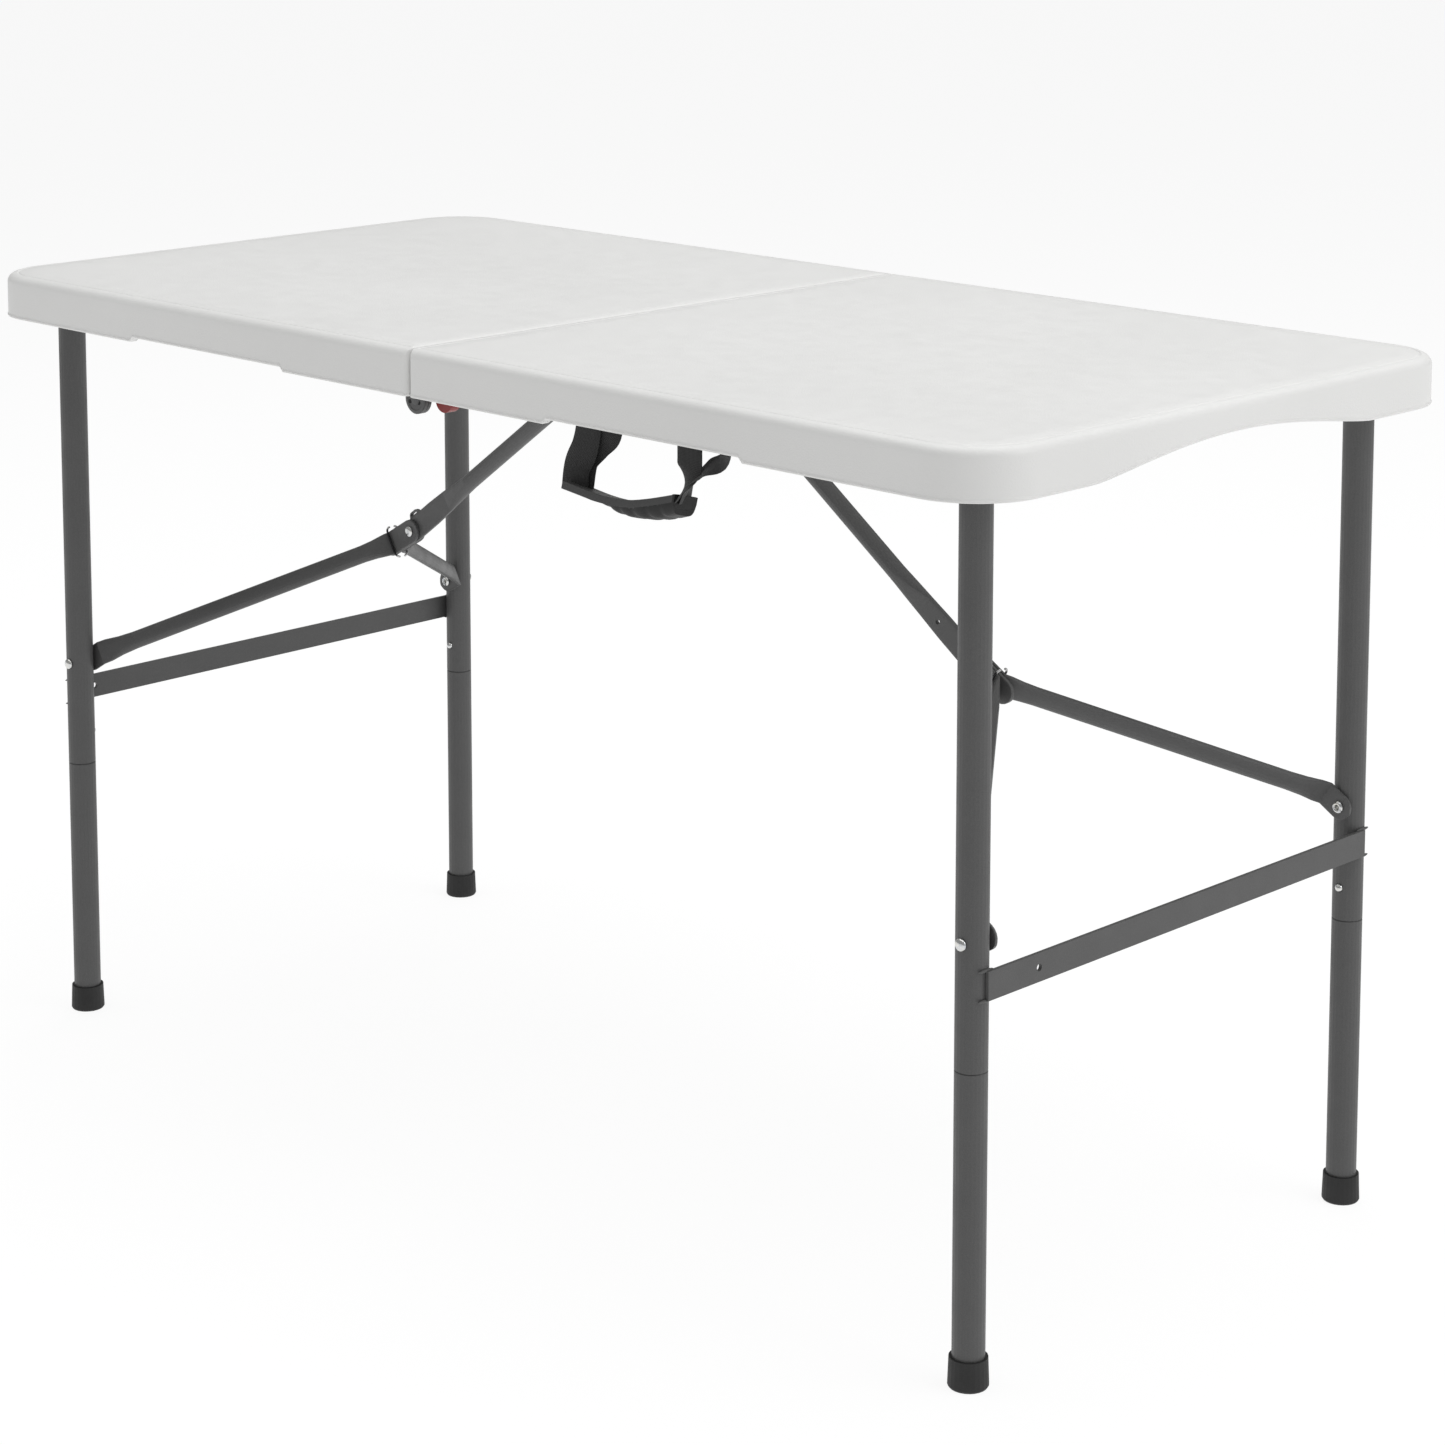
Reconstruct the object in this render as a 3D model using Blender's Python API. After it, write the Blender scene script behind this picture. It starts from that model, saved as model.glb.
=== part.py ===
"""Four-foot fold-in-half table: two moulded panels on a steel frame with folding legs.

World frame: X along the table, Y across it, Z up, origin on the floor under the middle.
Everything is in metres. The left half is at -X, the front long side is at -Y.
"""
import math

import bmesh
import bpy
from mathutils import Matrix, Vector

# ---- table top ----
TABLE_LENGTH = 1.220
TABLE_WIDTH = 0.590
TABLE_HEIGHT = 0.710
SKIRT_DEPTH = 0.0395
SKIRT_WALL = 0.009
PLATE_THICKNESS = 0.013
CORNER_RADIUS = 0.060
SEAM_CORNER_RADIUS = 0.004
TOP_EDGE_RADIUS = 0.007
SEAM_EDGE_RADIUS = 0.0008
BOTTOM_EDGE_RADIUS = 0.0015
SEAM_GAP = 0.0012
RECESS_START = 0.1615
RECESS_END = 0.3790
RECESS_DEPTH = 0.004
ARCH_HALF_WIDTH = 0.172
ARCH_RISE = 0.016
ARCH_POWER = 1.4
# ---- leg frames ----
LEG_X = 0.5534
LEG_Y = 0.235
LEG_RADIUS = 0.0125
LEG_PIVOT_Z = 0.680
PIVOT_TUBE_RADIUS = 0.009
LEG_JOIN_Z = 0.2415
SOCKET_DEPTH = 0.055
SOCKET_RADIUS = 0.0110
NECK_RADIUS = 0.0107
NECK_LENGTH = 0.050
BUTTON_Z = 0.2687
BUTTON_RADIUS = 0.0034
BOLT_Z = 0.3375
BOLT_RADIUS = 0.003
FOOT_RADIUS = 0.0155
FOOT_HEIGHT = 0.023
FOOT_FLOOR = 0.003
CROSS_BAR_Z = (0.296, 0.318)
CROSS_BAR_THICKNESS = 0.003
CROSS_BAR_HOLE_Y = {-1: -0.210, 1: -0.178}
CROSS_BAR_HOLE_RADIUS = 0.0029
# ---- folding brace ----
KNEE_X = {-1: 0.344, 1: 0.349}
KNEE_Z = {-1: 0.4590, 1: 0.4630}
ARM_PIVOT_X = {-1: 0.0660, 1: 0.0757}
ARM_PIVOT_Z = 0.660
BRACE_FLAT_HALF_HEIGHT = 0.0110
BRACE_FLAT_LENGTH = 0.031
BRACE_TUBE_HALF_HEIGHT = 0.0082
BRACE_TUBE_HALF_THICKNESS = 0.0056
ARM_TUBE_RADIUS = 0.0077
ARM_FLAT_HALF_HEIGHT = 0.0110
ARM_FLAT_HALF_THICKNESS = 0.0020
ARM_TAIL = 0.0375
ARM_HOLE_DISTANCE = 0.0435
ARM_HOLE_RADIUS = 0.0023
PLATE_INNER_Y = 0.0025
PLATE_HALF_THICKNESS = 0.0015
RING_DISTANCE = 0.0286
RING_WIRE_RADIUS = 0.0010
RING_HALF_WIDTH = 0.0072
RING_HALF_HEIGHT = 0.0152
RING_CORNER = 0.0050
RING_OPEN_Y = 0.0028
# ---- steel frame under the panels ----
RAIL_Y = (0.256, 0.268)
RAIL_Z = (0.6680, 0.6945)
RAIL_X = (0.022, 0.578)
HINGE_Z = 0.6680
HINGE_DISC_RADIUS = 0.0125
HINGE_PLATE_THICKNESS = 0.0030
HINGE_LEFT_PLATE_Y = 0.2825
HINGE_RIGHT_PLATE_Y = 0.2790
HINGE_PIN_RADIUS = 0.0030
LATCH_X = 0.0265
LATCH_RADIUS = 0.0100
LATCH_Z = 0.6690
# ---- carry handle ----
HANDLE_X = 0.2455
HANDLE_Y = 0.2820
HANDLE_PIVOT_Z = 0.6710
GRIP_HALF_LENGTH = 0.061
GRIP_Z = 0.6165
GRIP_SAG = 0.0065
STRAP_WIDTH = 0.025
STRAP_THICKNESS = 0.0016
STRAP_OFFSET = 0.0560

GAP = 0.0003
ROUND_SEGMENTS = 24
SMALL_SEGMENTS = 16
SMOOTH_ANGLE = math.radians(35)

X_AXIS = Vector((1, 0, 0))
Y_AXIS = Vector((0, 1, 0))
Z_AXIS = Vector((0, 0, 1))
SIDES = {"left": -1, "right": 1}
DEPTHS = {"front": -1, "back": 1}


# ---- scene helpers ----
def clear_scene():
    for scene_object in list(bpy.data.objects):
        bpy.data.objects.remove(scene_object, do_unlink=True)


def make_material(name, color, roughness, metallic):
    material = bpy.data.materials.new(name)
    material.use_nodes = True
    shader = material.node_tree.nodes["Principled BSDF"]
    shader.inputs["Base Color"].default_value = (*color, 1.0)
    shader.inputs["Roughness"].default_value = roughness
    shader.inputs["Metallic"].default_value = metallic
    return material


def make_joint_empty(name, location, parent=None):
    """An empty on a joint's axis: the pieces of one moving body hang from it."""
    empty = bpy.data.objects.new(name, None)
    empty.empty_display_size = 0.03
    bpy.context.scene.collection.objects.link(empty)
    empty.parent = parent["empty"] if parent else None
    origin = Vector(location)
    empty.location = origin - (parent["origin"] if parent else Vector())
    return {"empty": empty, "origin": origin}


def add_object(name, bm, material, body=None):
    """Turn a bmesh in world coordinates into an object that hangs from its body's empty."""
    bmesh.ops.recalc_face_normals(bm, faces=bm.faces)
    mesh = bpy.data.meshes.new(name)
    if body:
        bmesh.ops.translate(bm, vec=-body["origin"], verts=bm.verts)
    bm.to_mesh(mesh)
    bm.free()
    mesh.shade_smooth()
    mesh.set_sharp_from_angle(angle=SMOOTH_ANGLE)
    if material:
        mesh.materials.append(material)
    result = bpy.data.objects.new(name, mesh)
    bpy.context.scene.collection.objects.link(result)
    if body:
        result.parent = body["empty"]
    return result


def cut(target, bm, body=None):
    """Cut a bmesh in world coordinates out of the target with an exact Boolean."""
    cutter = add_object(target.name + "_cutter", bm, None, body)
    cutter.hide_render = True
    cutter.display_type = "WIRE"
    modifier = target.modifiers.new("Cut", "BOOLEAN")
    modifier.operation = "DIFFERENCE"
    modifier.solver = "EXACT"
    modifier.object = cutter


# ---- shape helpers ----
def bridge(bm, loop_a, loop_b):
    count = len(loop_a)
    for i in range(count):
        j = (i + 1) % count
        bm.faces.new((loop_a[i], loop_a[j], loop_b[j], loop_b[i]))


def skin(bm, rings):
    """Close a stack of equal rings into one body with flat ends."""
    loops = [[bm.verts.new(point) for point in ring] for ring in rings]
    for lower, upper in zip(loops, loops[1:]):
        bridge(bm, lower, upper)
    bm.faces.new(list(reversed(loops[0])))
    bm.faces.new(loops[-1])


def turned(profile, origin, axis, segments=ROUND_SEGMENTS, bm=None):
    """Revolve (distance along axis, radius) points; the two ends are closed flat."""
    bm = bm or bmesh.new()
    axis = Vector(axis).normalized()
    side = axis.orthogonal().normalized()
    other = axis.cross(side)
    rings = []
    for along, radius in profile:
        centre = Vector(origin) + axis * along
        rings.append(
            [
                centre
                + radius * math.cos(2 * math.pi * i / segments) * side
                + radius * math.sin(2 * math.pi * i / segments) * other
                for i in range(segments)
            ]
        )
    skin(bm, rings)
    return bm


def cylinder(start, end, radius, segments=ROUND_SEGMENTS, bm=None):
    direction = Vector(end) - Vector(start)
    return turned([(0, radius), (direction.length, radius)], start, direction, segments, bm)


def box(low, high, bm=None):
    bm = bm or bmesh.new()
    size = Vector(high) - Vector(low)
    centre = (Vector(high) + Vector(low)) / 2
    bmesh.ops.create_cube(bm, size=1.0, matrix=Matrix.Translation(centre) @ Matrix.Diagonal((*size, 1.0)))
    return bm


def superellipse(half_a, half_b, power, count=20):
    """Points of a rounded section: power 2 is an ellipse, a high power is a flat bar."""
    points = []
    for i in range(count):
        angle = 2 * math.pi * (i + 0.5) / count
        c, s = math.cos(angle), math.sin(angle)
        a = half_a * math.copysign(abs(c) ** (2 / power), c)
        b = half_b * math.copysign(abs(s) ** (2 / power), s)
        points.append((a, b))
    return points


def swept_bar(stations, height_axis, bm=None):
    """Loft a bar through (centre, half thickness, half height, power) stations."""
    bm = bm or bmesh.new()
    height_axis = Vector(height_axis).normalized()
    centres = [Vector(station[0]) for station in stations]
    rings = []
    for i, (centre, half_thickness, half_height, power) in enumerate(stations):
        before = centres[max(i - 1, 0)]
        after = centres[min(i + 1, len(centres) - 1)]
        thickness_axis = (after - before).normalized().cross(height_axis).normalized()
        rings.append(
            [
                Vector(centre) + a * thickness_axis + b * height_axis
                for a, b in superellipse(half_thickness, half_height, power)
            ]
        )
    skin(bm, rings)
    return bm


def mirrored(point, side):
    """A point stated for the right half, moved to the half given by side."""
    return Vector((point[0] * side, point[1], point[2]))


def arc_points(centre, radius, start, end, count):
    step = (end - start) / count
    return [
        (centre[0] + radius * math.cos(start + step * i), centre[1] + radius * math.sin(start + step * i))
        for i in range(count + 1)
    ]


# ---- panels ----
def panel_outline(inset, seam_inset=None):
    """Rounded outline of the right half, as (x, y) points, pulled in by inset (less along the seam)."""
    seam = SEAM_GAP / 2 + (inset if seam_inset is None else seam_inset)
    end = TABLE_LENGTH / 2 - inset
    half = TABLE_WIDTH / 2 - inset
    outer = max(CORNER_RADIUS - inset, 0.002)
    inner = max(SEAM_CORNER_RADIUS - inset, 0.0008)
    end_steps = 16
    straight = half - outer
    points = arc_points((seam + inner, -half + inner), inner, math.pi, 1.5 * math.pi, 3)
    for x in (RECESS_START, RECESS_START + 0.004, RECESS_END - 0.004, RECESS_END):
        points.append((x, -half))
    points += arc_points((end - outer, -straight), outer, -0.5 * math.pi, 0, 10)
    points += [(end, straight * (2 * i / end_steps - 1)) for i in range(1, end_steps)]
    points += arc_points((end - outer, straight), outer, 0, 0.5 * math.pi, 10)
    for x in (RECESS_END, RECESS_END - 0.004, RECESS_START + 0.004, RECESS_START):
        points.append((x, half))
    points += arc_points((seam + inner, half - inner), inner, 0.5 * math.pi, math.pi, 3)
    return points


def skirt_rise(x, y):
    """How far the skirt's lower edge is lifted: a shallow recess on the long sides, an arch at the end."""
    if abs(y) < ARCH_HALF_WIDTH and x > TABLE_LENGTH / 4:
        return ARCH_RISE * (1 - (y / ARCH_HALF_WIDTH) ** 2) ** ARCH_POWER
    if RECESS_START + 0.002 < x < RECESS_END - 0.002 and abs(y) > ARCH_HALF_WIDTH:
        return RECESS_DEPTH
    return 0.0


def make_panel(name, side, material, body):
    skirt_z = TABLE_HEIGHT - SKIRT_DEPTH
    under_z = TABLE_HEIGHT - PLATE_THICKNESS
    layers = [(SKIRT_WALL, SKIRT_WALL, under_z, 0), (SKIRT_WALL, SKIRT_WALL, skirt_z, 1)]
    layers += [(BOTTOM_EDGE_RADIUS, BOTTOM_EDGE_RADIUS, skirt_z, 1)]
    layers += [(0, 0, skirt_z + BOTTOM_EDGE_RADIUS, 1)]
    for i in range(5):
        angle = 0.5 * math.pi * i / 4
        turn = 1 - math.cos(angle)
        z = TABLE_HEIGHT - TOP_EDGE_RADIUS * (1 - math.sin(angle))
        layers.append((TOP_EDGE_RADIUS * turn, SEAM_EDGE_RADIUS * turn, z, 0))
    rings = []
    for inset, seam_inset, z, follows_edge in layers:
        rings.append(
            [
                Vector((x * side, y, z + (skirt_rise(x, y) if follows_edge else 0)))
                for x, y in panel_outline(inset, seam_inset)
            ]
        )
    bm = bmesh.new()
    skin(bm, rings)
    panel = add_object(name, bm, material, body)
    notches = bmesh.new()
    for depth in DEPTHS.values():
        near, far = sorted((depth * 0.2545, depth * 0.2872))
        left_x, right_x = sorted((0, side * 0.016))
        box((left_x, near, skirt_z - 0.01), (right_x, far, under_z - GAP), notches)
    cut(panel, notches, body)
    return panel


# ---- leg frames ----
def make_upper_leg(name, x, y, material, body):
    """Tube with a socket below, a button hole on its inner side and a bolt hole."""
    inward = -math.copysign(1, y)
    top = LEG_PIVOT_Z - PIVOT_TUBE_RADIUS - GAP
    profile = [(SOCKET_DEPTH, 0.0004), (SOCKET_DEPTH, SOCKET_RADIUS), (0, SOCKET_RADIUS)]
    profile += [(0, LEG_RADIUS), (top - LEG_JOIN_Z, LEG_RADIUS)]
    leg = add_object(name, turned(profile, (x, y, LEG_JOIN_Z), Z_AXIS), material, body)
    holes = cylinder((x, y - 0.02, BOLT_Z), (x, y + 0.02, BOLT_Z), BOLT_RADIUS + GAP, SMALL_SEGMENTS)
    button_start = (x, y + inward * 0.006, BUTTON_Z)
    cylinder(button_start, (x, y + inward * 0.02, BUTTON_Z), BUTTON_RADIUS + GAP, SMALL_SEGMENTS, holes)
    cut(leg, holes, body)
    return leg


def make_lower_leg(name, x, y, material, body):
    """Tube with a swaged neck that plugs into the upper leg and holds the snap button."""
    inward = -math.copysign(1, y)
    bottom = FOOT_FLOOR + GAP
    shoulder = LEG_JOIN_Z - GAP
    profile = [
        (0, LEG_RADIUS),
        (shoulder - bottom - 0.0008, LEG_RADIUS),
        (shoulder - bottom, LEG_RADIUS - 0.0008),
        (shoulder - bottom, NECK_RADIUS),
        (shoulder - bottom + NECK_LENGTH, NECK_RADIUS),
    ]
    leg = add_object(name, turned(profile, (x, y, bottom), Z_AXIS), material, body)
    hole_start = (x, y - inward * 0.006, BUTTON_Z)
    hole_end = (x, y + inward * 0.02, BUTTON_Z)
    hole = cylinder(hole_start, hole_end, BUTTON_RADIUS + GAP, SMALL_SEGMENTS)
    cut(leg, hole, body)
    return leg


def make_snap_button(name, x, y, material, body):
    inward = -math.copysign(1, y)
    base = LEG_RADIUS - 0.0085
    tip = LEG_RADIUS + 0.0028
    profile = [(base, BUTTON_RADIUS), (tip - 0.0018, BUTTON_RADIUS), (tip - 0.0006, BUTTON_RADIUS * 0.8)]
    profile.append((tip, BUTTON_RADIUS * 0.4))
    bm = turned(profile, (x, y, BUTTON_Z), Y_AXIS * inward, SMALL_SEGMENTS)
    return add_object(name, bm, material, body)


def make_foot_cap(name, x, y, material, body):
    """Cup over the end of the lower leg, slightly flared, standing on the floor."""
    bore = LEG_RADIUS + GAP
    profile = [
        (FOOT_FLOOR, 0.0004),
        (FOOT_FLOOR, bore),
        (FOOT_HEIGHT, bore),
        (FOOT_HEIGHT, FOOT_RADIUS - 0.0008),
        (0.0015, FOOT_RADIUS),
        (0, FOOT_RADIUS - 0.0010),
    ]
    return add_object(name, turned(profile, (x, y, 0), Z_AXIS), material, body)


def make_cross_bar(name, side, material, body):
    """Flat bar welded across the outer faces of the two legs."""
    near = LEG_X + LEG_RADIUS + GAP
    low, high = sorted((side * near, side * (near + CROSS_BAR_THICKNESS)))
    bm = box((low, -LEG_Y, CROSS_BAR_Z[0]), (high, LEG_Y, CROSS_BAR_Z[1]))
    bar = add_object(name, bm, material, body)
    middle_z = sum(CROSS_BAR_Z) / 2
    hole_y = CROSS_BAR_HOLE_Y[side]
    hole_start = (low - 0.01, hole_y, middle_z)
    hole_end = (high + 0.01, hole_y, middle_z)
    cut(bar, cylinder(hole_start, hole_end, CROSS_BAR_HOLE_RADIUS, SMALL_SEGMENTS), body)
    return bar


def make_leg_bolt(name, x, y, material, body):
    """Dome head outside the leg, shank through leg and brace, peened end inside."""
    inward = -math.copysign(1, y)
    plate_inner = LEG_RADIUS + GAP + 2 * PLATE_HALF_THICKNESS + 2 * GAP
    profile = [
        (-LEG_RADIUS - 0.0030, 0.0012),
        (-LEG_RADIUS - 0.0026, 0.0034),
        (-LEG_RADIUS - 0.0012, 0.0048),
        (-LEG_RADIUS - GAP, 0.0050),
        (-LEG_RADIUS - GAP, BOLT_RADIUS),
        (plate_inner, BOLT_RADIUS),
        (plate_inner, 0.0046),
        (plate_inner + 0.0012, 0.0042),
        (plate_inner + 0.0022, 0.0018),
    ]
    bm = turned(profile, (x, y, BOLT_Z), Y_AXIS * inward, SMALL_SEGMENTS)
    return add_object(name, bm, material, body)


def make_pivot_tube(name, side, material, body):
    """Cross tube that the leg frame swings on; its ends turn in the side rails."""
    end = RAIL_Y[1] + 0.002
    x = side * LEG_X
    bm = cylinder((x, -end, LEG_PIVOT_Z), (x, end, LEG_PIVOT_Z), PIVOT_TUBE_RADIUS)
    return add_object(name, bm, material, body)


# ---- folding brace ----
def brace_direction(side):
    """Unit vector from the leg bolt to the knee, seen from the side, and its upright normal."""
    along = Vector((KNEE_X[side] - LEG_X, 0, KNEE_Z[side] - BOLT_Z)).normalized()
    along.x *= side
    return along, Vector((-along.z * side, 0, along.x * side)) * -1


def rounded_end(centre, direction, half_thickness, half_height, power, radius, steps=5):
    """Stations that round off a flattened end around its rivet."""
    stations = []
    for i in range(steps):
        angle = 0.5 * math.pi * (1 - i / steps)
        offset = radius * math.sin(angle)
        height = max(half_height * math.cos(angle), 0.0015)
        stations.append((centre - direction * offset, half_thickness, height, power))
    return stations


def make_brace_arm(name, side, depth, material, body):
    """Tube from a leg to the knee, flattened at both ends."""
    along, up = brace_direction(side)
    leg_y = depth * (LEG_Y - LEG_RADIUS - GAP - PLATE_HALF_THICKNESS)
    knee_y = depth * (PLATE_INNER_Y + PLATE_HALF_THICKNESS)
    bolt = Vector((side * LEG_X, leg_y, BOLT_Z))
    knee = Vector((side * KNEE_X[side], knee_y, KNEE_Z[side]))
    thin = PLATE_HALF_THICKNESS
    tall = BRACE_FLAT_HALF_HEIGHT
    wide, high = BRACE_TUBE_HALF_THICKNESS, BRACE_TUBE_HALF_HEIGHT
    leave = bolt + along * 0.016
    arrive = knee - along * BRACE_FLAT_LENGTH
    diagonal = (arrive - leave).normalized()
    stations = rounded_end(bolt, along, thin, tall, 6, tall)
    stations += [(bolt, thin, tall, 6), (leave, thin, tall, 6)]
    stations += [(leave + diagonal * 0.008, thin * 1.3, tall * 0.98, 5)]
    stations += [(leave + diagonal * 0.020, wide * 0.75, high * 1.10, 2.8)]
    stations += [(leave + diagonal * 0.034, wide, high, 2.3)]
    stations += [(arrive - diagonal * 0.030, wide, high, 2.3)]
    stations += [(arrive - diagonal * 0.018, wide * 0.75, high * 1.10, 2.8)]
    stations += [(arrive - diagonal * 0.006, thin * 1.3, tall * 0.97, 5)]
    stations += [(arrive, thin, tall, 6), (knee, thin, tall, 6)]
    stations += list(reversed(rounded_end(knee, -along, thin, tall, 6, tall)))
    arm = add_object(name, swept_bar(stations, up), material, body)
    holes = cylinder(bolt - Y_AXIS * 0.01, bolt + Y_AXIS * 0.01, BOLT_RADIUS + GAP, SMALL_SEGMENTS)
    knee_hole = cylinder(knee - Y_AXIS * 0.003, knee + Y_AXIS * 0.003, BOLT_RADIUS + GAP, SMALL_SEGMENTS)
    cut(arm, holes, body)
    cut(arm, knee_hole, body)
    return arm


def make_knee_rivet(name, side, depth, material, body):
    """Rivet head with its stub in one brace plate; the space between the plates is left open."""
    outer = PLATE_INNER_Y + 2 * PLATE_HALF_THICKNESS + GAP
    profile = [
        (PLATE_INNER_Y, BOLT_RADIUS),
        (outer, BOLT_RADIUS),
        (outer, 0.0048),
        (outer + 0.0012, 0.0044),
        (outer + 0.0022, 0.0020),
    ]
    bm = turned(profile, (side * KNEE_X[side], 0, KNEE_Z[side]), Y_AXIS * depth, SMALL_SEGMENTS)
    return add_object(name, bm, material, body)


def make_upper_arm(name, side, material, body):
    """Tube from the knee up to the middle of the table, flattened wide at the knee."""
    knee = Vector((side * KNEE_X[side], 0, KNEE_Z[side]))
    pivot = Vector((side * ARM_PIVOT_X[side], 0, ARM_PIVOT_Z))
    along = (pivot - knee).normalized()
    up = Vector((-along.z * side, 0, along.x * side)) * -1
    thin = ARM_FLAT_HALF_THICKNESS
    tall = ARM_FLAT_HALF_HEIGHT
    tube = ARM_TUBE_RADIUS
    tail_along, _ = brace_direction(side)
    tail = knee - tail_along * ARM_TAIL
    stations = rounded_end(tail, tail_along, thin, tall, 6, tall)
    stations += [(tail, thin, tall, 6), (knee, thin, tall, 6), (knee + along * 0.036, thin, tall, 6)]
    stations += [(knee + along * 0.061, thin * 1.1, tall * 0.92, 5)]
    stations += [(knee + along * 0.080, tube * 0.72, tube * 1.12, 2.8)]
    stations += [(knee + along * 0.100, tube, tube, 2)]
    stations += [(pivot - along * 0.045, tube, tube, 2)]
    stations += [(pivot - along * 0.022, 0.0045, 0.0095, 4), (pivot, 0.0045, 0.0090, 4)]
    stations += list(reversed(rounded_end(pivot, -along, 0.0045, 0.0090, 4, 0.0090)))
    arm = add_object(name, swept_bar(stations, up), material, body)
    hole = cylinder(pivot - Y_AXIS * 0.02, pivot + Y_AXIS * 0.02, BOLT_RADIUS + GAP, SMALL_SEGMENTS)
    cut(arm, hole, body)
    if side > 0:
        eye = knee + along * ARM_HOLE_DISTANCE
        cut(arm, cylinder(eye - Y_AXIS * 0.01, eye + Y_AXIS * 0.01, ARM_HOLE_RADIUS, SMALL_SEGMENTS), body)
    return arm


def make_ring_half(name, side, depth, material, body):
    """One half of the wire loop around the brace plates; the upper arm swings between the halves."""
    along, up = brace_direction(side)
    centre = Vector((side * KNEE_X[side], 0, KNEE_Z[side])) - along * RING_DISTANCE
    corner_y = RING_HALF_WIDTH - RING_CORNER
    corner_h = RING_HALF_HEIGHT - RING_CORNER
    stop = math.acos((RING_OPEN_Y - corner_y) / RING_CORNER)
    path = arc_points((corner_y, corner_h), RING_CORNER, stop, 0, 6)
    path += arc_points((corner_y, -corner_h), RING_CORNER, 0, -stop, 6)
    outward = Y_AXIS * depth
    points = [centre + a * outward + b * up for a, b in path]
    rings = []
    for i, point in enumerate(points):
        tangent = (points[min(i + 1, len(points) - 1)] - points[max(i - 1, 0)]).normalized()
        normal = tangent.cross(along)
        turns = [2 * math.pi * k / 10 for k in range(10)]
        circle = [math.cos(t) * normal + math.sin(t) * along for t in turns]
        rings.append([point + RING_WIRE_RADIUS * offset for offset in circle])
    bm = bmesh.new()
    skin(bm, rings)
    return add_object(name, bm, material, body)


def make_arm_bracket(name, side, material, body):
    """Cross member under the middle of the table with two ears for the upper arm."""
    reach = RAIL_Y[0] - GAP
    x = side * ARM_PIVOT_X[side]
    bar_low, bar_high = ARM_PIVOT_Z + 0.0125, 0.6945
    ear = 0.0065
    outline = [(-reach, bar_high), (-reach, bar_low), (-ear - 0.003, bar_low)]
    outline += [(-ear - 0.003, ARM_PIVOT_Z - 0.008), (-ear, ARM_PIVOT_Z - 0.008), (-ear, bar_low)]
    outline += [(-y, z) for y, z in reversed(outline)]
    bm = bmesh.new()
    skin(bm, [[Vector((x + shift, y, z)) for y, z in outline] for shift in (-0.009, 0.009)])
    return add_object(name, bm, material, body)


def make_arm_pin(name, side, material, body):
    """Pin in the upper arm; it stops just short of the bracket's ears."""
    end = 0.0062
    x = side * ARM_PIVOT_X[side]
    bm = cylinder((x, -end, ARM_PIVOT_Z), (x, end, ARM_PIVOT_Z), BOLT_RADIUS, SMALL_SEGMENTS)
    return add_object(name, bm, material, body)


# ---- frame under the panels ----
def make_rail(name, side, depth, material, body):
    low_x, high_x = sorted((side * RAIL_X[0], side * RAIL_X[1]))
    low_y, high_y = sorted((depth * RAIL_Y[0], depth * RAIL_Y[1]))
    rail = add_object(name, box((low_x, low_y, RAIL_Z[0]), (high_x, high_y, RAIL_Z[1])), material, body)
    x = side * LEG_X
    hole_start, hole_end = (x, low_y - 0.01, LEG_PIVOT_Z), (x, high_y + 0.01, LEG_PIVOT_Z)
    hole = cylinder(hole_start, hole_end, PIVOT_TUBE_RADIUS + GAP)
    cut(rail, hole, body)
    return rail


def make_hinge_plate(name, side, depth, plate_y, material, body):
    """Plate along a rail whose round end sits on the centre hinge's axis."""
    reach = 0.052
    disc = arc_points((0, HINGE_Z), HINGE_DISC_RADIUS, math.radians(60), math.radians(371), 24)
    outline = [(side * x, z) for x, z in disc]
    outline += [(side * reach, HINGE_Z + 0.0025), (side * reach, HINGE_Z + 0.0225)]
    low, high = sorted((depth * plate_y, depth * (plate_y + HINGE_PLATE_THICKNESS)))
    bm = bmesh.new()
    skin(bm, [[Vector((x, y, z)) for x, z in outline] for y in (low, high)])
    plate = add_object(name, bm, material, body)
    hole_start, hole_end = (0, low - 0.01, HINGE_Z), (0, high + 0.01, HINGE_Z)
    cut(plate, cylinder(hole_start, hole_end, HINGE_PIN_RADIUS + GAP, SMALL_SEGMENTS), body)
    return plate


def make_hinge_pin(name, depth, material, body):
    inner = HINGE_RIGHT_PLATE_Y - 0.0016
    outer = HINGE_LEFT_PLATE_Y + HINGE_PLATE_THICKNESS
    shank = HINGE_PIN_RADIUS
    profile = [(inner - 0.0014, 0.0045), (inner, 0.0050), (inner, shank), (outer, shank)]
    bm = turned(profile, (0, 0, HINGE_Z), Y_AXIS * depth, SMALL_SEGMENTS)
    return add_object(name, bm, material, body)


def make_latch(name, depth, material, body):
    """Red push tab of the centre lock, beside the hinge disc."""
    low, high = sorted((depth * 0.2690, depth * 0.2785))
    outline = arc_points((LATCH_X, LATCH_Z), LATCH_RADIUS, math.pi, 2 * math.pi, 12)
    outline += [(LATCH_X + LATCH_RADIUS, 0.6760), (LATCH_X - LATCH_RADIUS, 0.6760)]
    bm = bmesh.new()
    skin(bm, [[Vector((x, y, z)) for x, z in outline] for y in (low, high)])
    return add_object(name, bm, material, body)


# ---- carry handle ----
def make_grip(name, material, body):
    """Curved moulded grip, thinner at its ends and hollow side up."""
    stations = []
    steps = 10
    for i in range(steps + 1):
        t = 2 * i / steps - 1
        x = HANDLE_X + GRIP_HALF_LENGTH * t
        z = GRIP_Z + GRIP_SAG * t * t
        stations.append(((x, -HANDLE_Y, z), 0.0055 - 0.0025 * t * t, 0.0125, 3))
    return add_object(name, swept_bar(stations, Y_AXIS), material, body)


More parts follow.
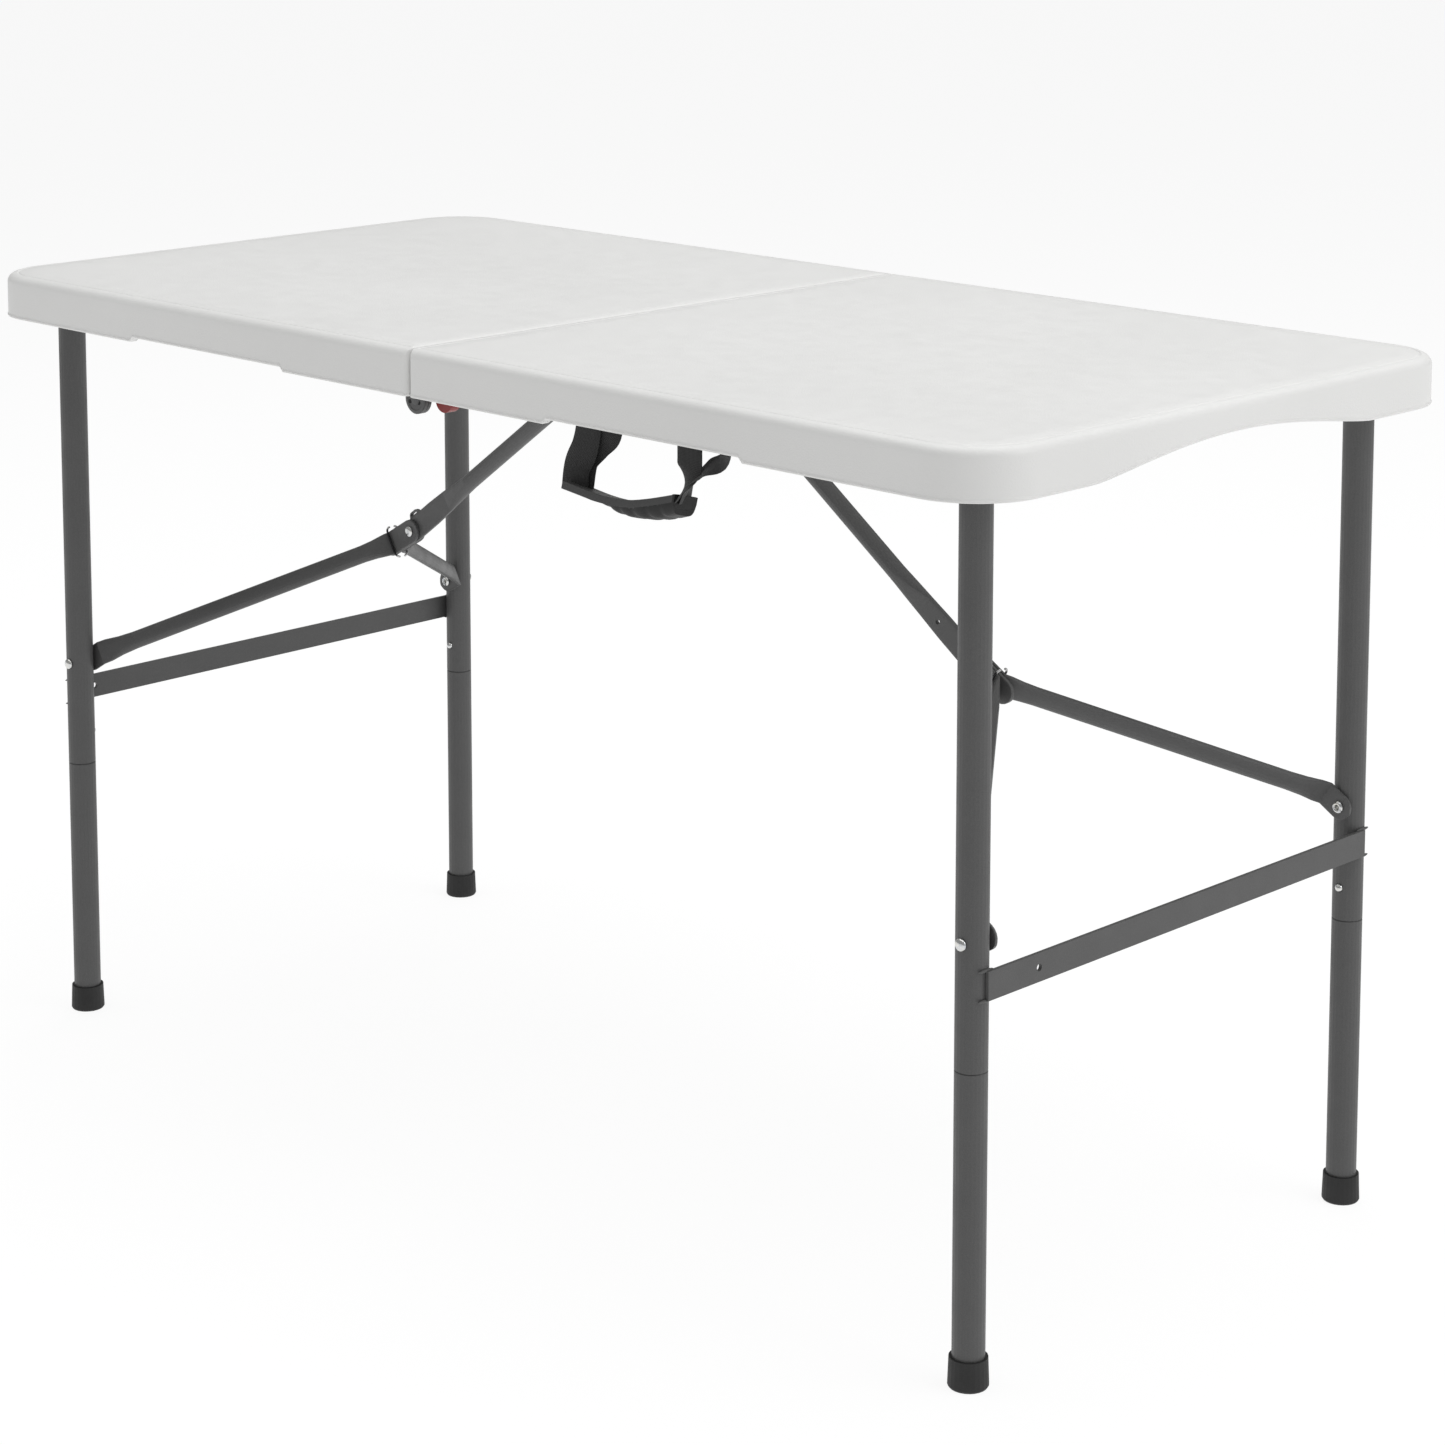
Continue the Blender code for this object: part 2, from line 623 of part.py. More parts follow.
def make_strap(name, offset, material, body):
    centre = HANDLE_X + offset
    t = offset / GRIP_HALF_LENGTH
    bottom = GRIP_Z + GRIP_SAG * t * t + 0.0055
    low = (centre - STRAP_WIDTH / 2, -HANDLE_Y - STRAP_THICKNESS / 2, bottom)
    high = (centre + STRAP_WIDTH / 2, -HANDLE_Y + STRAP_THICKNESS / 2, HANDLE_PIVOT_Z)
    return add_object(name, box(low, high), material, body)


def make_handle_anchor(name, material, body):
    """Bar that holds the strap ends up inside the skirt."""
    reach = STRAP_OFFSET + 0.016
    low = (HANDLE_X - reach, -HANDLE_Y - 0.0025, HANDLE_PIVOT_Z + 0.0012)
    high = (HANDLE_X + reach, -HANDLE_Y + 0.0100, 0.6940)
    return add_object(name, box(low, high), material, body)


def build_leg_frame(word, side, half, finish):
    frame = make_joint_empty(word + "_leg_pivot", (side * LEG_X, 0, LEG_PIVOT_Z), half)
    make_pivot_tube(word + "_leg_pivot_tube", side, finish["steel"], frame)
    make_cross_bar(word + "_leg_cross_bar", side, finish["steel"], frame)
    for corner, depth in DEPTHS.items():
        label = word + "_" + corner
        x, y = side * LEG_X, depth * LEG_Y
        make_upper_leg(label + "_upper_leg", x, y, finish["steel"], frame)
        make_lower_leg(label + "_lower_leg", x, y, finish["steel"], frame)
        make_foot_cap(label + "_foot_cap", x, y, finish["rubber"], frame)
        make_leg_bolt(label + "_leg_bolt", x, y, finish["zinc"], frame)
        button = make_joint_empty(label + "_button_slide", (x, y, BUTTON_Z), frame)
        make_snap_button(label + "_snap_button", x, y, finish["zinc"], button)
    brace = make_joint_empty(word + "_brace_pivot", (side * LEG_X, 0, BOLT_Z), frame)
    for corner, depth in DEPTHS.items():
        label = word + "_" + corner
        make_brace_arm(label + "_brace_arm", side, depth, finish["steel"], brace)
        make_knee_rivet(label + "_knee_rivet", side, depth, finish["zinc"], brace)
    ring = make_joint_empty(word + "_ring_slide", (side * KNEE_X[side], 0, KNEE_Z[side]), brace)
    for corner, depth in DEPTHS.items():
        make_ring_half(word + "_" + corner + "_lock_ring", side, depth, finish["zinc"], ring)
    arm = make_joint_empty(word + "_arm_pivot", (side * ARM_PIVOT_X[side], 0, ARM_PIVOT_Z), half)
    make_upper_arm(word + "_upper_arm", side, finish["steel"], arm)
    make_arm_pin(word + "_arm_pin", side, finish["zinc"], arm)


def build_half(word, side, half, finish):
    make_panel(word + "_panel", side, finish["plastic"], half)
    for corner, depth in DEPTHS.items():
        make_rail(word + "_" + corner + "_rail", side, depth, finish["steel"], half)
    make_arm_bracket(word + "_arm_bracket", side, finish["steel"], half)
    build_leg_frame(word, side, half, finish)


def main():
    clear_scene()
    finish = {
        "plastic": make_material("white_plastic", (0.83, 0.83, 0.82), 0.45, 0.0),
        "steel": make_material("grey_powder_coat", (0.085, 0.085, 0.088), 0.42, 0.3),
        "rubber": make_material("black_rubber", (0.012, 0.012, 0.012), 0.7, 0.0),
        "zinc": make_material("zinc_plate", (0.62, 0.62, 0.60), 0.3, 1.0),
        "red": make_material("red_latch", (0.35, 0.02, 0.02), 0.4, 0.0),
        "grip": make_material("grip_plastic", (0.05, 0.05, 0.052), 0.5, 0.0),
        "webbing": make_material("black_webbing", (0.01, 0.01, 0.01), 0.9, 0.0),
    }
    left_half = make_joint_empty("left_half", (0, 0, 0))
    right_half = make_joint_empty("centre_hinge", (0, 0, HINGE_Z))
    build_half("left", SIDES["left"], left_half, finish)
    build_half("right", SIDES["right"], right_half, finish)
    for corner, depth in DEPTHS.items():
        steel = finish["steel"]
        make_hinge_plate(corner + "_hinge_disc_plate", -1, depth, HINGE_LEFT_PLATE_Y, steel, left_half)
        make_hinge_plate(corner + "_hinge_leaf", 1, depth, HINGE_RIGHT_PLATE_Y, steel, right_half)
        make_hinge_pin(corner + "_hinge_pin", depth, finish["zinc"], left_half)
        latch = make_joint_empty(corner + "_latch_slide", (LATCH_X, depth * 0.274, 0.670), right_half)
        make_latch(corner + "_lock_latch", depth, finish["red"], latch)
    handle = make_joint_empty("handle_pivot", (HANDLE_X, -HANDLE_Y, HANDLE_PIVOT_Z), right_half)
    make_grip("handle_grip", finish["grip"], handle)
    make_strap("handle_left_strap", -STRAP_OFFSET, finish["webbing"], handle)
    make_strap("handle_right_strap", STRAP_OFFSET, finish["webbing"], handle)
    make_handle_anchor("handle_anchor", finish["steel"], right_half)


main()
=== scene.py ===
"""Looks for the folding table: moulded tops, webbing carry handle, fasteners and procedural finishes.

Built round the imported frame, in metres, in the same frame as the CAD model.
"""
import math

import bmesh
import bpy
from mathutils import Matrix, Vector


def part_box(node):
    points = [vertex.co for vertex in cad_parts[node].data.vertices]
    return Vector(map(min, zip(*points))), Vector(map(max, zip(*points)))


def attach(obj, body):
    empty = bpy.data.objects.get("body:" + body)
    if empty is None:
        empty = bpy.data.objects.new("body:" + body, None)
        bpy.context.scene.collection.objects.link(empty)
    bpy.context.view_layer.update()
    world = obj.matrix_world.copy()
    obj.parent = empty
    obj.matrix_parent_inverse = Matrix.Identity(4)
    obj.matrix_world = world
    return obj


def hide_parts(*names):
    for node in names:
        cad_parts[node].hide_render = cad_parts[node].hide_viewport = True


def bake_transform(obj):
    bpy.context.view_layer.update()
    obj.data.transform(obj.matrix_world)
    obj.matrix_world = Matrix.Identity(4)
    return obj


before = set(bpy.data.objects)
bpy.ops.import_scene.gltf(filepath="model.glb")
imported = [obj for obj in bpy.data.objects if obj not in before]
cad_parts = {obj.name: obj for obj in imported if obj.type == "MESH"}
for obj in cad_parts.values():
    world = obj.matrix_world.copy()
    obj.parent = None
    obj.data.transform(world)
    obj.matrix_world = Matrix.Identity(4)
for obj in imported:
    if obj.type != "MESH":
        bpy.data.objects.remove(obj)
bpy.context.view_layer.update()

Y_AXIS = Vector((0, 1, 0))
SIDES = {"left": -1, "right": 1}
DEPTHS = {"front": -1, "back": 1}

# ---- camera ----
CAMERA_LOCATION = (2.1355, -2.0829, 1.1855)
CAMERA_YAW = 0.7821
CAMERA_PITCH_DOWN = 0.1282
CAMERA_LENS_MM = 86.96
CAMERA_SHIFT_Y = -0.359

# ---- top shells ----
PANEL_WALL = 0.009
PANEL_PLATE = 0.013
CORNER_RADIUS = 0.060
SEAM_CORNER_RADIUS = 0.0060
EDGE_RADIUS = 0.0078
RECESS = (0.1615, 0.3790)
RECESS_DEPTH = 0.004
ARCH_HALF_WIDTH = 0.172
ARCH_RISE = 0.016

# ---- carry handle ----
HANDLE_PIVOT = Vector((0.2455, -0.282, 0.6710))
GRIP_CENTRE = Vector((0.2455, -0.282, 0.6262))
GRIP_HALF_LENGTH = 0.0610
GRIP_HALF_WIDTH = 0.0125
GRIP_TILT = math.radians(15)
GRIP_RIM_HEIGHT = 0.0062
GRIP_RIBS = 4.2
# (share of the half length, height)
GRIP_TOP_LINE = [(-1.0, 0.0), (-0.4, -0.0042), (0.11, -0.0043), (0.49, -0.0004), (1.0, 0.0078)]
GRIP_BELLY_LINE = [(-1.0, -0.0062), (-0.32, -0.0112), (0.11, -0.0165), (0.62, -0.0140), (1.0, -0.0075)]
BELT_WIDTH = 0.0245
BELT_THICKNESS = 0.0013
YARN_ACROSS = 0.0013
YARN_ALONG = 0.0011
BELT_TOP_Z = 0.6885


# ---- materials ----
def new_material(name):
    material = bpy.data.materials.new(name)
    material.use_nodes = True
    nodes, links = material.node_tree.nodes, material.node_tree.links
    return material, nodes, links, nodes["Principled BSDF"]


def texture(nodes, links, kind, scale, coordinates="Object", **settings):
    """A texture node fed with the piece's own coordinates."""
    source = nodes.new("ShaderNodeTexCoord")
    node = nodes.new(kind)
    node.inputs["Scale"].default_value = scale
    for key, value in settings.items():
        node.inputs[key].default_value = value
    links.new(source.outputs[coordinates], node.inputs["Vector"])
    return node


def ramp(nodes, links, source, stops):
    node = nodes.new("ShaderNodeValToRGB")
    links.new(source, node.inputs["Fac"])
    while len(node.color_ramp.elements) < len(stops):
        node.color_ramp.elements.new(0.5)
    for element, (position, color) in zip(node.color_ramp.elements, stops):
        element.position = position
        element.color = (*color, 1.0)
    return node.outputs["Color"]


def math_node(nodes, links, operation, first, second=None):
    node = nodes.new("ShaderNodeMath")
    node.operation = operation
    for socket, value in zip(node.inputs, (first, second)):
        if value is None:
            continue
        if isinstance(value, (int, float)):
            socket.default_value = value
        else:
            links.new(value, socket)
    return node.outputs[0]


def add_bump(nodes, links, shader, height, strength, distance):
    bump = nodes.new("ShaderNodeBump")
    bump.inputs["Strength"].default_value = strength
    bump.inputs["Distance"].default_value = distance
    links.new(height, bump.inputs["Height"])
    links.new(bump.outputs["Normal"], shader.inputs["Normal"])
    return bump


def grey(value, tint=(1, 1, 1)):
    return tuple(value * t for t in tint)


def add_roughness(nodes, links, shader, source, low, high):
    """Drive the roughness between two values with a noise."""
    links.new(ramp(nodes, links, source, [(0.3, grey(low)), (0.7, grey(high))]), shader.inputs["Roughness"])


def moulded_material(name, base, spread, roughness, grain_scale, grain_depth, tint=(1, 1, 1)):
    """Moulded plastic or rubber: fine grain in the surface and a slow drift of tone and gloss."""
    material, nodes, links, shader = new_material(name)
    cloud = texture(nodes, links, "ShaderNodeTexNoise", 9.0, Detail=3.0)
    stops = [(0.30, grey(base - spread, tint)), (0.70, grey(base + spread, tint))]
    links.new(ramp(nodes, links, cloud.outputs["Fac"], stops), shader.inputs["Base Color"])
    gloss = texture(nodes, links, "ShaderNodeTexNoise", 60.0, Detail=4.0)
    add_roughness(nodes, links, shader, gloss.outputs["Fac"], roughness - 0.05, roughness + 0.06)
    grain = texture(nodes, links, "ShaderNodeTexVoronoi", grain_scale)
    add_bump(nodes, links, shader, grain.outputs["Distance"], 0.35, grain_depth)
    return material


def powder_coat_material(name, base):
    """Satin powder coat: orange-peel surface, tiny flecks and slightly worn gloss."""
    material, nodes, links, shader = new_material(name)
    shader.inputs["Specular IOR Level"].default_value = 0.45
    fleck = texture(nodes, links, "ShaderNodeTexNoise", 1500.0, Detail=2.0)
    stops = [(0.36, grey(base * 0.90)), (0.50, grey(base)), (0.66, grey(base * 1.12))]
    links.new(ramp(nodes, links, fleck.outputs["Fac"], stops), shader.inputs["Base Color"])
    gloss = texture(nodes, links, "ShaderNodeTexNoise", 35.0, Detail=4.0)
    add_roughness(nodes, links, shader, gloss.outputs["Fac"], 0.40, 0.52)
    peel = texture(nodes, links, "ShaderNodeTexNoise", 700.0, Detail=2.0)
    add_bump(nodes, links, shader, peel.outputs["Fac"], 0.25, 0.0003)
    return material


def zinc_material():
    """Bright zinc plate with fine turning marks and faint blue-yellow passivation."""
    material, nodes, links, shader = new_material("bright_zinc")
    shader.inputs["Metallic"].default_value = 1.0
    tone = texture(nodes, links, "ShaderNodeTexNoise", 220.0, Detail=3.0)
    stops = [(0.3, (0.58, 0.60, 0.63)), (0.55, (0.74, 0.74, 0.72)), (0.75, (0.66, 0.64, 0.58))]
    links.new(ramp(nodes, links, tone.outputs["Fac"], stops), shader.inputs["Base Color"])
    mark = texture(nodes, links, "ShaderNodeTexNoise", 1800.0, Detail=2.0)
    add_roughness(nodes, links, shader, mark.outputs["Fac"], 0.16, 0.30)
    add_bump(nodes, links, shader, mark.outputs["Fac"], 0.12, 0.0002)
    return material


def wire_material():
    """Drawn wire: a painted highlight makes its end loops lighter, and painted shade and a painted dark
    reflection turn the runs that lie against the plates nearly black.
    """
    material, nodes, links, shader = new_material("drawn_wire_painted_shade")
    shader.inputs["Metallic"].default_value = 1.0
    source = nodes.new("ShaderNodeTexCoord")
    split = nodes.new("ShaderNodeSeparateXYZ")
    links.new(source.outputs["Object"], split.inputs["Vector"])
    aside = math_node(nodes, links, "ABSOLUTE", split.outputs["Y"])
    painted_shade_reach = math_node(nodes, links, "MULTIPLY", aside, 100.0)
    # painted light by distance from the wire's middle plane: lighter end loops are a painted highlight,
    # near-black runs along the plates are painted shade and a painted dark reflection
    stops = [(0.0, (0.66, 0.66, 0.65)), (0.62, (0.50, 0.50, 0.50)), (0.70, (0.035, 0.035, 0.037))]
    links.new(ramp(nodes, links, painted_shade_reach, stops), shader.inputs["Base Color"])
    mark = texture(nodes, links, "ShaderNodeTexNoise", 1500.0, Detail=2.0)
    add_roughness(nodes, links, shader, mark.outputs["Fac"], 0.20, 0.34)
    add_bump(nodes, links, shader, mark.outputs["Fac"], 0.1, 0.0002)
    return material


def webbing_material():
    """Woven polyester belt: ribs across, warp columns along, fuzzy sheen."""
    material, nodes, links, shader = new_material("black_webbing")
    shader.inputs["Roughness"].default_value = 0.82
    shader.inputs["Sheen Weight"].default_value = 0.25
    shader.inputs["Sheen Roughness"].default_value = 0.5
    source = nodes.new("ShaderNodeTexCoord")
    split = nodes.new("ShaderNodeSeparateXYZ")
    links.new(source.outputs["UV"], split.inputs["Vector"])
    # UVs are in units of one yarn: x across the belt, y along it
    half_turns = [math_node(nodes, links, "MULTIPLY", split.outputs[axis], math.pi) for axis in "XY"]
    across, along = [math_node(nodes, links, "SINE", turn) for turn in half_turns]
    weave = math_node(nodes, links, "MULTIPLY", across, along)
    height = math_node(nodes, links, "ABSOLUTE", weave)
    stops = [(0.0, grey(0.004)), (0.6, grey(0.014)), (1.0, grey(0.022))]
    links.new(ramp(nodes, links, height, stops), shader.inputs["Base Color"])
    add_bump(nodes, links, shader, height, 0.6, 0.0004)
    return material


def top_material():
    """White blow-moulded polyethylene: one pebbled grain over the whole shell."""
    material, nodes, links, shader = new_material("white_moulded_top")
    shader.inputs["Specular IOR Level"].default_value = 0.42
    cloud = texture(nodes, links, "ShaderNodeTexNoise", 4.0, Detail=3.0)
    stops = [(0.3, (0.755, 0.755, 0.745)), (0.7, (0.785, 0.785, 0.775))]
    links.new(ramp(nodes, links, cloud.outputs["Fac"], stops), shader.inputs["Base Color"])
    gloss = texture(nodes, links, "ShaderNodeTexNoise", 45.0, Detail=4.0)
    add_roughness(nodes, links, shader, gloss.outputs["Fac"], 0.40, 0.50)
    pebble = texture(nodes, links, "ShaderNodeTexVoronoi", 620.0)
    skin_noise = texture(nodes, links, "ShaderNodeTexNoise", 1100.0, Detail=2.0)
    grain = math_node(nodes, links, "ADD", pebble.outputs["Distance"], skin_noise.outputs["Fac"])
    add_bump(nodes, links, shader, grain, 0.22, 0.0004)
    return material


TOP = top_material()
COAT = powder_coat_material("grey_powder_coat", 0.085)
RUBBER = moulded_material("black_rubber", 0.014, 0.004, 0.62, 1500.0, 0.0003)
ZINC = zinc_material()
WIRE = wire_material()
RED = moulded_material("red_latch_plastic", 0.22, 0.03, 0.38, 1400.0, 0.0002, (1.0, 0.045, 0.04))
GRIP = moulded_material("grip_plastic", 0.060, 0.010, 0.46, 1300.0, 0.0003)
GRIP_DARK = moulded_material("grip_dark_ribs", 0.010, 0.003, 0.55, 1300.0, 0.0003)
WEBBING = webbing_material()
DARK_HOLE = moulded_material("shadowed_hole", 0.006, 0.002, 0.8, 900.0, 0.0002)


# ---- mesh helpers ----
def finish_piece(name, bm, material, body=None, smooth_degrees=35):
    bmesh.ops.recalc_face_normals(bm, faces=bm.faces)
    mesh = bpy.data.meshes.new(name)
    bm.to_mesh(mesh)
    bm.free()
    mesh.shade_smooth()
    mesh.set_sharp_from_angle(angle=math.radians(smooth_degrees))
    mesh.materials.append(material)
    piece = bpy.data.objects.new(name, mesh)
    bpy.context.scene.collection.objects.link(piece)
    if body:
        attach(piece, body)
    return piece


def skin(bm, rings, cap=True, closed=False):
    """Quads between equal rings of points."""
    loops = [[bm.verts.new(point) for point in ring] for ring in rings]
    pairs = list(zip(loops, loops[1:]))
    if closed:
        pairs.append((loops[-1], loops[0]))
    for lower, upper in pairs:
        count = len(lower)
        for i in range(count):
            j = (i + 1) % count
            bm.faces.new((lower[i], lower[j], upper[j], upper[i]))
    if cap and not closed:
        bm.faces.new(list(reversed(loops[0])))
        bm.faces.new(loops[-1])
    return loops


def turned(bm, profile, origin, axis, segments=40):
    """Revolve (distance along axis, radius) points round an axis."""
    axis = Vector(axis).normalized()
    side = axis.orthogonal().normalized()
    other = axis.cross(side)
    turns = [2 * math.pi * i / segments for i in range(segments)]
    rings = []
    for along, radius in profile:
        centre = Vector(origin) + axis * along
        rings.append([centre + radius * (math.cos(t) * side + math.sin(t) * other) for t in turns])
    skin(bm, rings)
    return bm


def arc_points(centre, radius, start, end, count):
    step = (end - start) / count
    return [
        (centre[0] + radius * math.cos(start + step * i), centre[1] + radius * math.sin(start + step * i))
        for i in range(count + 1)
    ]


def middle(node):
    low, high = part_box(node)
    return (Vector(low) + Vector(high)) / 2


def smoothstep(t):
    t = min(max(t, 0.0), 1.0)
    return t * t * (3 - 2 * t)


# ---- moulded tops ----
def shell_outline(inset, seam_inset, low, high):
    """Outline of the right half at a given inset, denser than the CAD's, as (x, y) points."""
    seam = low[0] + seam_inset
    end = high[0] - inset
    half = high[1] - inset
    outer = max(CORNER_RADIUS - inset, 0.002)
    inner = max(SEAM_CORNER_RADIUS - inset, 0.0008)
    straight = half - outer
    ramp_x = [RECESS[0] + d for d in (-0.001, 0.0, 0.002, 0.004, 0.005)]
    ramp_x += [RECESS[1] + d for d in (-0.005, -0.004, -0.002, 0.0, 0.001)]
    points = arc_points((seam + inner, -half + inner), inner, math.pi, 1.5 * math.pi, 8)
    points += [(x, -half) for x in ramp_x]
    points += arc_points((end - outer, -straight), outer, -0.5 * math.pi, 0, 28)
    points += [(end, straight * (2 * i / 56 - 1)) for i in range(1, 56)]
    points += arc_points((end - outer, straight), outer, 0, 0.5 * math.pi, 28)
    points += [(x, half) for x in reversed(ramp_x)]
    points += arc_points((seam + inner, half - inner), inner, 0.5 * math.pi, math.pi, 8)
    return points


def skirt_rise(x, y):
    """Lift of the skirt's lower edge: the arch at the end and the shallow recess in the long sides."""
    if abs(y) < ARCH_HALF_WIDTH and x > 0.40:
        return ARCH_RISE * (1 - (y / ARCH_HALF_WIDTH) ** 2) ** 1.4
    if abs(y) > ARCH_HALF_WIDTH:
        inside = min(x - RECESS[0], RECESS[1] - x)
        return RECESS_DEPTH * smoothstep(inside / 0.004)
    return 0.0


def make_top_shell(word):
    """One half of the table top: rounded edge with a fine crease, parting line round the skirt."""
    side = SIDES[word]
    low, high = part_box(word + "_panel")
    if side < 0:
        low, high = (-high[0], low[1], low[2]), (-low[0], high[1], high[2])
    top, bottom = high[2], low[2]
    under = top - PANEL_PLATE
    wall = PANEL_WALL
    # (inset, inset at the seam, height, share of the lower edge's lift)
    layers = [(wall + 0.012, wall + 0.012, under, 0), (wall + 0.0045, wall + 0.0045, under, 0)]
    layers += [(wall + 0.0014, wall + 0.0014, under - 0.0013, 0), (wall, wall, under - 0.0045, 0)]
    layers += [(wall, wall, bottom + 0.0030, 1), (wall, wall, bottom + 0.0012, 1)]
    layers += [(wall - 0.0008, wall - 0.0008, bottom, 1), (0.0012, 0.0012, bottom, 1)]
    layers += [(0.0004, 0.0004, bottom + 0.0003, 1), (0.0, 0.0, bottom + 0.0010, 1)]
    layers += [(0.0, 0.0, bottom + 0.0017, 1), (0.0005, 0.0005, bottom + 0.0021, 1)]
    layers += [(0.0006, 0.0005, bottom + 0.0040, 1), (0.0006, 0.0005, top - 0.0140, 0)]
    edge = EDGE_RADIUS
    for i in range(11):
        angle = 0.5 * math.pi * i / 10
        turn, drop = 1 - math.cos(angle), 1 - math.sin(angle)
        layers.append((0.0006 + edge * turn, 0.0005 + 0.0008 * turn, top - 0.0003 - edge * drop, 0))
    layers += [(edge + 0.0014, 0.0018, top - 0.0002, 0), (edge + 0.0022, 0.0026, top - 0.0011, 0)]
    layers += [(edge + 0.0030, 0.0034, top - 0.0011, 0), (edge + 0.0038, 0.0042, top - 0.0003, 0)]
    layers += [(edge + 0.0046, 0.0050, top, 0), (edge + 0.0200, 0.0180, top, 0)]
    bm = bmesh.new()
    rings = []
    for inset, seam_inset, z, follows in layers:
        outline = shell_outline(inset, seam_inset, low, high)
        rings.append([Vector((x * side, y, z + follows * skirt_rise(x, y))) for x, y in outline])
    skin(bm, rings)
    shell = finish_piece(word + "_top_shell", bm, TOP, word + "_half", 50)
    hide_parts(word + "_panel")
    return shell


# ---- carry handle ----
def ribbon(name, path, width, thickness, material):
    """Woven belt along a path of (centre, width direction); UVs count yarns across and along."""
    centres = [Vector(p) for p, _ in path]
    bm = bmesh.new()
    uv_layer = bm.loops.layers.uv.new("UVMap")
    columns = 8
    rings, lengths, travelled = [], [], 0.0
    for i, (centre, direction) in enumerate(path):
        centre, across = Vector(centre), Vector(direction).normalized()
        tangent = (centres[min(i + 1, len(centres) - 1)] - centres[max(i - 1, 0)]).normalized()
        across = (across - tangent * across.dot(tangent)).normalized()
        normal = tangent.cross(across)
        travelled += (centre - centres[i - 1]).length if i else 0.0
        lengths.append(travelled)
        ring = []
        for sign in (1, -1):
            for c in range(columns + 1):
                t = (2 * c / columns - 1) * sign
                edge_round = 0.35 if abs(t) == 1 else 1.0
                out = sign * edge_round * thickness / 2
                ring.append(centre + across * (t * width / 2) + normal * out)
        rings.append(ring)
    loops = skin(bm, rings)
    place = {}
    for loop, length in zip(loops, lengths):
        for k, vert in enumerate(loop):
            c = k % (columns + 1)
            t = c / columns if k <= columns else 1 - c / columns
            place[vert] = (t * width / YARN_ACROSS, length / YARN_ALONG)
    for face in bm.faces:
        for corner in face.loops:
            corner[uv_layer].uv = place[corner.vert]
    return finish_piece(name, bm, material, None, 50)


def follow(points, t):
    """Smooth curve through points, by t from 0 to 1."""
    count = len(points) - 1
    i = min(int(t * count), count - 1)
    u = t * count - i
    before, start = Vector(points[max(i - 1, 0)]), Vector(points[i])
    end, after = Vector(points[i + 1]), Vector(points[min(i + 2, count)])
    bend = 2 * before - 5 * start + 4 * end - after
    turn = 3 * (start - end) + after - before
    return start + 0.5 * u * ((end - before) + u * (bend + u * turn))


def belt_path(points, angles, pace=1.15, steps=32):
    """Centre line through points, twisting from one width direction to another."""
    path = []
    for i in range(steps + 1):
        t = i / steps
        angle = math.radians(angles[0] + (angles[1] - angles[0]) * smoothstep(t * pace))
        path.append((follow(points, t), (math.cos(angle), math.sin(angle), 0)))
    return path


def grip_line(s, stations):
    """Height along the grip, smoothed between a few stations of (s, height)."""
    points = [(a, h, 0) for a, h in stations]
    low, high = 0.0, 1.0
    for _ in range(24):
        mid = (low + high) / 2
        if follow(points, mid).x < s:
            low = mid
        else:
            high = mid
    return follow(points, low).y


def grip_point(s, across, height):
    """A point of the grip: s from end to end, then across to the front and up in its tilted section."""
    centre = GRIP_CENTRE + Vector((GRIP_HALF_LENGTH * s, 0, 0))
    front = Vector((0, -math.cos(GRIP_TILT), math.sin(GRIP_TILT)))
    up = Vector((0, math.sin(GRIP_TILT), math.cos(GRIP_TILT)))
    return centre + front * across + up * height


def grip_top(s):
    return grip_line(s, GRIP_TOP_LINE)


